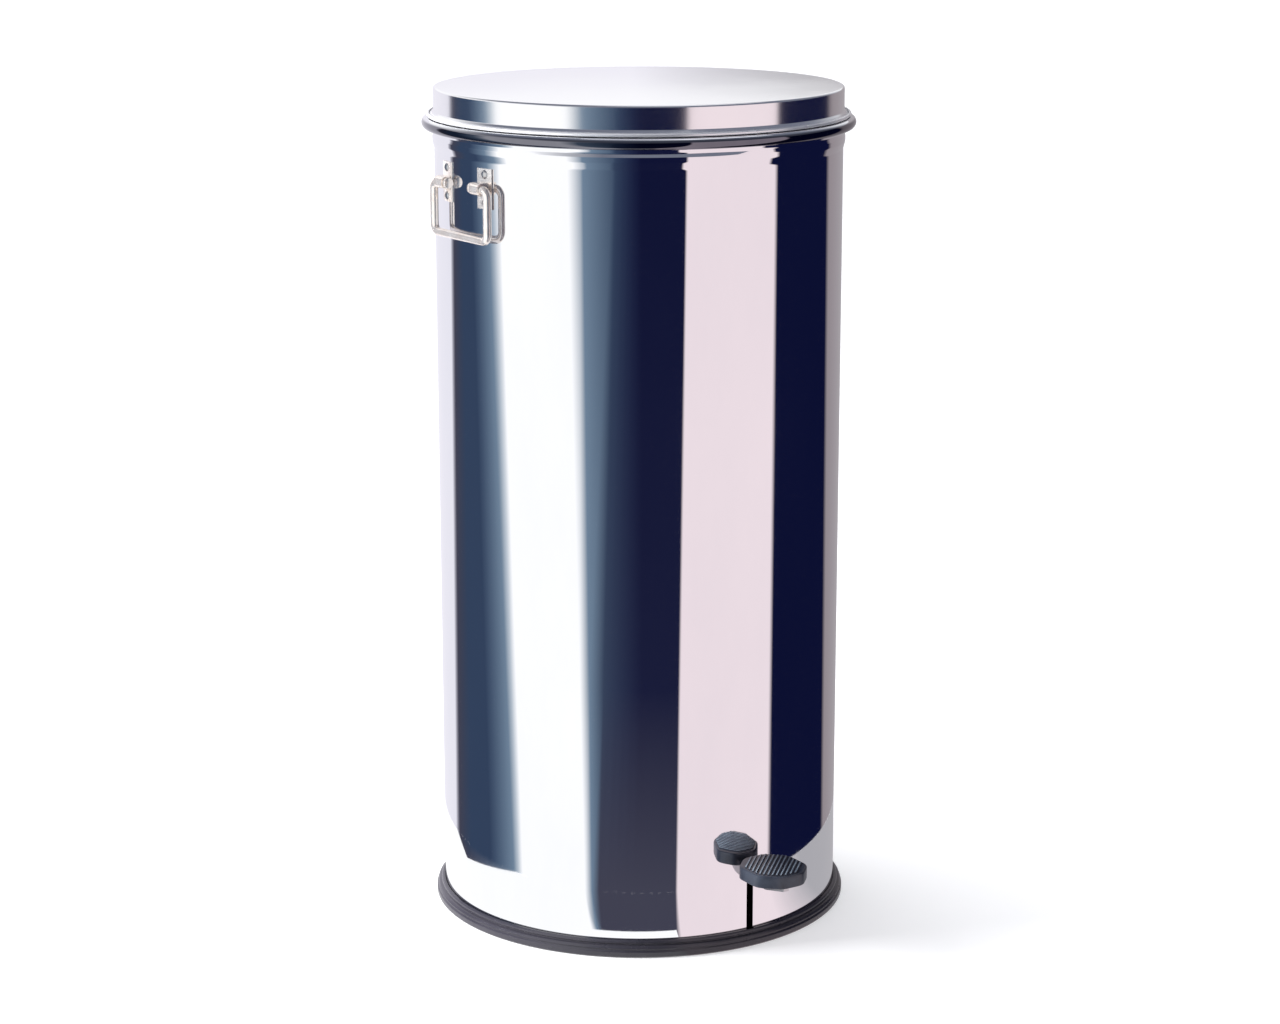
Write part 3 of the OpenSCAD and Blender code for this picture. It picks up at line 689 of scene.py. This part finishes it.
def camera():
    """The camera: in front of the bin, above its rim and tilted down."""
    data = bpy.data.cameras.new("camera")
    data.lens = CAMERA_LENS
    eye = bpy.data.objects.new("camera", data)
    eye.location = (CAMERA_DISTANCE * sin(CAMERA_AZIMUTH),
                    -CAMERA_DISTANCE * cos(CAMERA_AZIMUTH), CAMERA_HEIGHT)
    eye.rotation_euler = (pi / 2 - CAMERA_PITCH, CAMERA_ROLL, CAMERA_AZIMUTH + CAMERA_YAW)
    bpy.context.scene.collection.objects.link(eye)
    bpy.context.scene.camera = eye


def floor():
    """A pale floor that shines a little by itself, so that shadows on it stay light."""
    material = bpy.data.materials.new("floor")
    material.use_nodes = True
    shader = material.node_tree.nodes["Principled BSDF"]
    for socket, value in (("Base Color", (0.6, 0.6, 0.605, 1)), ("Roughness", 0.9),
                          ("Specular IOR Level", 0.1), ("Emission Color", (1, 1, 1, 1)),
                          ("Emission Strength", 0.55)):
        shader.inputs[socket].default_value = value
    bm = bmesh.new()
    bmesh.ops.create_circle(bm, cap_ends=True, segments=64, radius=40)
    mesh = bpy.data.meshes.new("floor")
    bm.to_mesh(mesh)
    bm.free()
    mesh.materials.append(material)
    ground = bpy.data.objects.new("floor", mesh)
    bpy.context.scene.collection.objects.link(ground)


def card_material():
    """Shines with the colours that are painted on the mesh."""
    material = bpy.data.materials.new("card")
    material.use_nodes = True
    material.cycles.emission_sampling = "NONE"
    tree = material.node_tree
    tree.nodes.clear()
    out = tree.nodes.new("ShaderNodeOutputMaterial")
    light = tree.nodes.new("ShaderNodeEmission")
    paint = tree.nodes.new("ShaderNodeAttribute")
    paint.attribute_name = "levels"
    light.inputs["Strength"].default_value = CARD_GAIN
    tree.links.new(paint.outputs["Color"], light.inputs["Color"])
    tree.links.new(light.outputs["Emission"], out.inputs["Surface"])
    return material


def card(name, stops, spots):
    """A studio card that shows only in reflections, painted at its points. A stop is a list
    of numbers that blends evenly into the next one, and spots turns such a list into a
    column of points with their colours."""
    columns = []
    for a, b in zip(stops, stops[1:]):
        steps = max(1, ceil((b[0] - a[0]) / CARD_STEP))
        columns += [blend(a, b, i / steps) for i in range(steps)]
    columns = [spots(column) for column in columns + [stops[-1]]]
    high = len(columns[0])
    mesh = bpy.data.meshes.new(name)
    quads = [(i, i + high, i + high + 1, i + 1)
             for k in range(len(columns) - 1) for i in range(k * high, (k + 1) * high - 1)]
    mesh.from_pydata([point for column in columns for point, _ in column], [], quads)
    levels = mesh.color_attributes.new("levels", "FLOAT_COLOR", "POINT")
    for mark, (_, shade) in zip(levels.data, (pair for column in columns for pair in column)):
        mark.color = srgb(*shade)
    mesh.materials.append(card_material())
    board = bpy.data.objects.new(name, mesh)
    board.rotation_euler.z = CARD_TURN
    for ray in ("camera", "diffuse", "shadow", "transmission", "volume_scatter"):
        setattr(board, f"visible_{ray}", False)
    bpy.context.scene.collection.objects.link(board)


# The colours of the studio's panels, as display levels
WHITE = (255, 255, 255)
PALE = (230, 228, 236)
ROSE = (235, 220, 224)
SILVER = (170, 168, 172)
GREY = (145, 136, 140)
MIST = (110, 130, 150)
DUSK = (65, 65, 80)
SLATE = (50, 65, 90)
NAVY = (12, 16, 48)

# The ring of panels round the bin, edge by edge: the angle at its foot and at its top, in
# degrees from the side that faces the camera, then the colour at its foot and at its top
RING_STOPS = [
    (-180, -180, *PALE, *PALE), (-108, -102, *PALE, *PALE),                 # pale wall behind
    (-103, -98, *DUSK, *DUSK), (-90, -90, *SLATE, *SLATE),                  # dark left panel
    (-74, -84, *SLATE, *SLATE), (-59, -73, *MIST, *MIST),
    (-54, -65, *WHITE, *WHITE), (-24, -31, *WHITE, *WHITE),                 # white panel
    (-21, -24, *MIST, *MIST), (-18, -9, *DUSK, *SLATE),                     # dark middle panel
    (0, 0, *DUSK, *NAVY), (14, 18, *DUSK, *NAVY),
    (15, 19, *ROSE, *ROSE), (58, 59, *ROSE, *ROSE),                         # rose panel
    (60, 61, *NAVY, *NAVY), (103, 98, *NAVY, *NAVY),                        # dark right panel
    (107, 102, *GREY, *GREY), (150, 150, *SILVER, *SILVER), (180, 180, *PALE, *PALE),
]

# The cards on the floor: the angle at their outer edge, then the radius in millimetres, the
# angle and the colour at their inner edge. The outer edge of the first one takes the colour
# of the ring's foot, and the other two have one colour from edge to edge
FLOOR_NEAR, FLOOR_STEP, FLOOR_DEEP, FLOOR_FAR = 205, 262, 325, 370
FLOOR_STOPS = [
    (-106, FLOOR_FAR, -106, *DUSK), (-90, FLOOR_DEEP, -90, *DUSK), (-59, FLOOR_FAR, -58, *MIST),
    (-54, FLOOR_FAR, -52, *WHITE), (-24, FLOOR_STEP, -18, *WHITE),
    (-21, FLOOR_STEP, -16, *MIST), (-18, FLOOR_STEP, -14, *DUSK), (14, FLOOR_STEP, 12, *DUSK),
    (15, FLOOR_NEAR, 12, *ROSE), (58, FLOOR_NEAR, 48, *ROSE),
]
FLOOR_GREY = [(58, FLOOR_NEAR, 48, *ROSE), (80, FLOOR_NEAR, 76, *SILVER),
              (125, FLOOR_NEAR, 125, *SILVER), (180, FLOOR_NEAR, 180, *PALE)]
FLOOR_WHITE = [(-180, FLOOR_NEAR, -180, *PALE), (-145, FLOOR_NEAR, -145, *WHITE),
               (16, FLOOR_NEAR, 12, *WHITE)]


def foot_colour(angle):
    """The colour of the ring's foot at an angle."""
    for a, b in zip(RING_STOPS, RING_STOPS[1:]):
        if a[0] <= angle <= b[0]:
            return blend(a[2:5], b[2:5], (angle - a[0]) / (b[0] - a[0]))


def ring_spots(stop):
    """A column of the ring. The colour of its foot fades mostly within its lowest quarter."""
    (low, high), foot, top = stop[:2], stop[2:5], stop[5:8]
    return [(around(low, RING_R, CARD_Z), foot),
            (around(low + (high - low) * FOOT_PART, RING_R, RING_TOP * FOOT_PART),
             blend(foot, top, FOOT_FADE)),
            (around(high, RING_R, RING_TOP), top)]


def floor_spots(stop):
    """A column of a floor card that carries on from the foot of the ring."""
    return [(around(stop[0], RING_R, CARD_Z), foot_colour(stop[0])),
            (around(stop[2], stop[1] * MM, CARD_Z), stop[3:])]


def plain_spots(stop):
    """A column of one colour. Its card lies just under the other floor cards."""
    return [(around(stop[0], RING_R, CARD_Z / 2), stop[3:]),
            (around(stop[2], stop[1] * MM, CARD_Z / 2), stop[3:])]


def lamp(name, azimuth, distance, height, size, power, reflected=False):
    """A soft square lamp that shines on the bin's lower half, at an angle in degrees from
    the side that faces the camera."""
    data = bpy.data.lights.new(name, "AREA")
    data.shape = "SQUARE"
    data.size = size
    data.energy = power
    light = bpy.data.objects.new(name, data)
    light.location = around(azimuth + degrees(CAMERA_AZIMUTH), distance, height)
    way = Vector((0, 0, 0.3)) - light.location
    light.rotation_euler = way.to_track_quat("-Z", "Y").to_euler()
    light.visible_glossy = reflected
    bpy.context.scene.collection.objects.link(light)


def sun(azimuth, elevation, softness, strength):
    """Even light from far away, for the soft shadow beside the bin."""
    data = bpy.data.lights.new("sun", "SUN")
    data.energy = strength
    data.angle = radians(softness)
    light = bpy.data.objects.new("sun", data)
    light.rotation_euler = (0, radians(90 - elevation), radians(azimuth - 90) + CAMERA_AZIMUTH)
    light.visible_glossy = False
    bpy.context.scene.collection.objects.link(light)


SKY_WHITE = -125            # the middle of the sky's white side
SKY_LEAN = (-0.2, 0.45)     # how far towards that side it turns from grey to white
SKY_RISE = (0.42, 0.7)      # how steeply upwards it turns from white to grey
SKY_GREY = (112, 116, 130)
SKY_BRIGHT = (253, 253, 255)
SKY_STRENGTH = 1.1


def sky():
    """Bright round the horizon on one side, and grey on the other and overhead."""
    world = bpy.data.worlds.new("studio")
    world.use_nodes = True
    tree = world.node_tree
    way = tree.nodes.new("ShaderNodeTexCoord").outputs["Generated"]
    parts = []
    for target, limits in ((around(SKY_WHITE + degrees(CAMERA_AZIMUTH), 1), SKY_LEAN),
                           ((0, 0, -1), (-SKY_RISE[1], -SKY_RISE[0]))):
        lean = tree.nodes.new("ShaderNodeVectorMath")
        lean.operation = "DOT_PRODUCT"
        lean.inputs[1].default_value = target
        tree.links.new(way, lean.inputs[0])
        span = tree.nodes.new("ShaderNodeMapRange")
        span.inputs["From Min"].default_value, span.inputs["From Max"].default_value = limits
        tree.links.new(lean.outputs["Value"], span.inputs["Value"])
        parts.append(span.outputs["Result"])
    both = tree.nodes.new("ShaderNodeMath")
    both.operation = "MULTIPLY"
    for part, socket in zip(parts, both.inputs):
        tree.links.new(part, socket)
    shade = tree.nodes.new("ShaderNodeValToRGB")
    shade.color_ramp.elements[0].color = srgb(*SKY_GREY)
    shade.color_ramp.elements[1].color = srgb(*SKY_BRIGHT)
    tree.links.new(both.outputs["Value"], shade.inputs["Fac"])
    tree.links.new(shade.outputs["Color"], tree.nodes["Background"].inputs["Color"])
    tree.nodes["Background"].inputs["Strength"].default_value = SKY_STRENGTH
    bpy.context.scene.world = world


def studio():
    """Everything round the bin: sky, floor, cards and lamps."""
    bpy.context.scene.view_settings.view_transform = "Standard"
    sky()
    floor()
    card("card_ring", RING_STOPS, ring_spots)
    card("floor_cards", FLOOR_STOPS, floor_spots)
    card("floor_grey", FLOOR_GREY, plain_spots)
    card("floor_white", FLOOR_WHITE, plain_spots)
    lamp("key", -84, 3.4, 1.4, 1.5, 300)
    lamp("top", 150, 0.8, 3.2, 1.6, 7, reflected=True)
    sun(-135, 68, 38, 2.1)


camera()
dress_cad_nodes()
body_shell()
lid()
base_cap()
inner_bucket()
pedal_pad()
for side in (-1, 1):
    handle(side)
studio()
